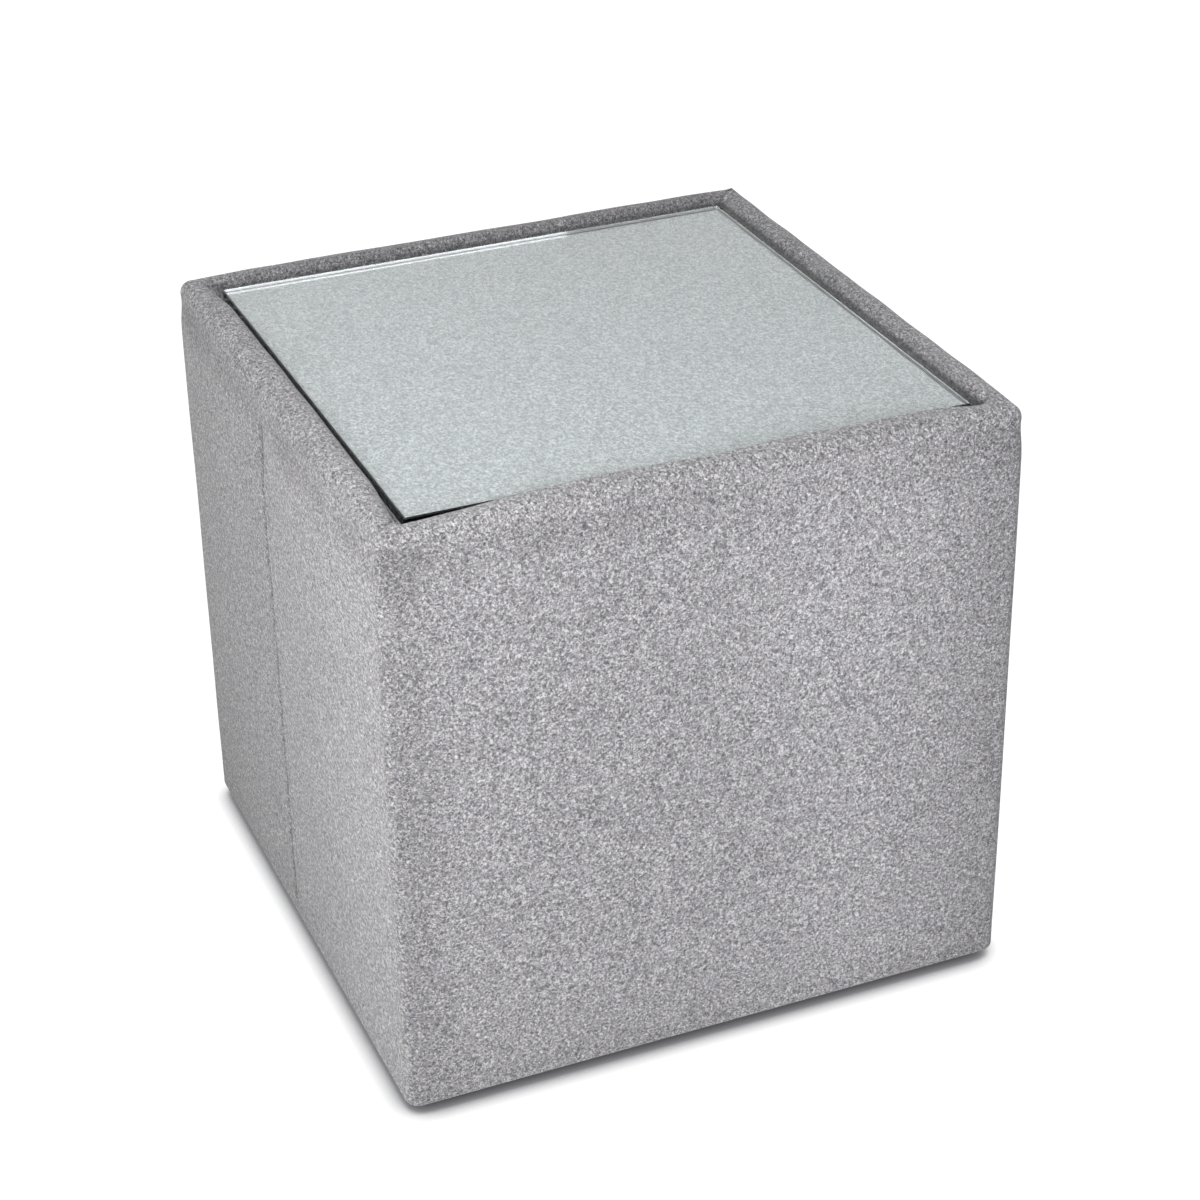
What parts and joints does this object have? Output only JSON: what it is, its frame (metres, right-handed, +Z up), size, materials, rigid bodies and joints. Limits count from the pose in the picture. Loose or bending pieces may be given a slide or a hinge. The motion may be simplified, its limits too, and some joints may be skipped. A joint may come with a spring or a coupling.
{
  "type": "storage ottoman",
  "caption": "Felt-covered cube ottoman with a padded rim, a loose glass top and a lift-out lid board over a lined storage compartment.",
  "frame": {"origin": "on the floor, under the middle of the box", "axes": "+Z up; the front faces -Y; the side with the cover's seam faces -X"},
  "size_m": [0.45, 0.45, 0.44],
  "materials": {
    "felt": "matte",
    "foam": "matte",
    "plywood": "satin",
    "softwood": "satin",
    "lining_cloth": "matte",
    "dust_cloth": "matte",
    "glide_plastic": "satin",
    "screw_steel": "satin",
    "webbing": "matte",
    "clear_glass": "polished"
  },
  "bodies": {
    "box": {"base_panel": "plywood", "front_panel": "plywood", "right_panel": "plywood", "back_panel": "plywood", "left_panel": "plywood", "front_left_lower_screw": "screw_steel", "front_right_lower_screw": "screw_steel", "front_left_upper_screw": "screw_steel", "front_right_upper_screw": "screw_steel", "back_left_lower_screw": "screw_steel", "back_right_lower_screw": "screw_steel", "back_left_upper_screw": "screw_steel", "back_right_upper_screw": "screw_steel", "front_lid_ledge": "softwood", "right_lid_ledge": "softwood", "back_lid_ledge": "softwood", "left_lid_ledge": "softwood", "front_left_corner_block": "softwood", "front_right_corner_block": "softwood", "back_right_corner_block": "softwood", "back_left_corner_block": "softwood", "front_wall_foam": "foam", "right_wall_foam": "foam", "back_wall_foam": "foam", "left_wall_foam": "foam", "front_rim_foam": "foam", "right_rim_foam": "foam", "back_rim_foam": "foam", "left_rim_foam": "foam", "outer_cover": "felt", "wall_lining": "lining_cloth", "floor_lining_board": "lining_cloth", "dust_cover": "dust_cloth", "front_left_glide": "glide_plastic", "front_right_glide": "glide_plastic", "back_right_glide": "glide_plastic", "back_left_glide": "glide_plastic", "front_left_glide_screw": "screw_steel", "front_right_glide_screw": "screw_steel", "back_right_glide_screw": "screw_steel", "back_left_glide_screw": "screw_steel"},
    "lid": {"lid_board": "plywood", "lid_foam": "foam", "lid_cover": "felt", "lid_underside_lining": "lining_cloth", "pull_tab": "webbing"},
    "glass": {"glass_plate": "clear_glass"}
  },
  "joints": [
    {"name": "lid_lift", "type": "slide", "parent": "box", "child": "lid", "axis": [0, 0, 1], "range_m": [0, 0.3]},
    {"name": "glass_lift", "type": "slide", "parent": "lid", "child": "glass", "axis": [0, 0, 1], "range_m": [0, 0.12]}
  ]
}
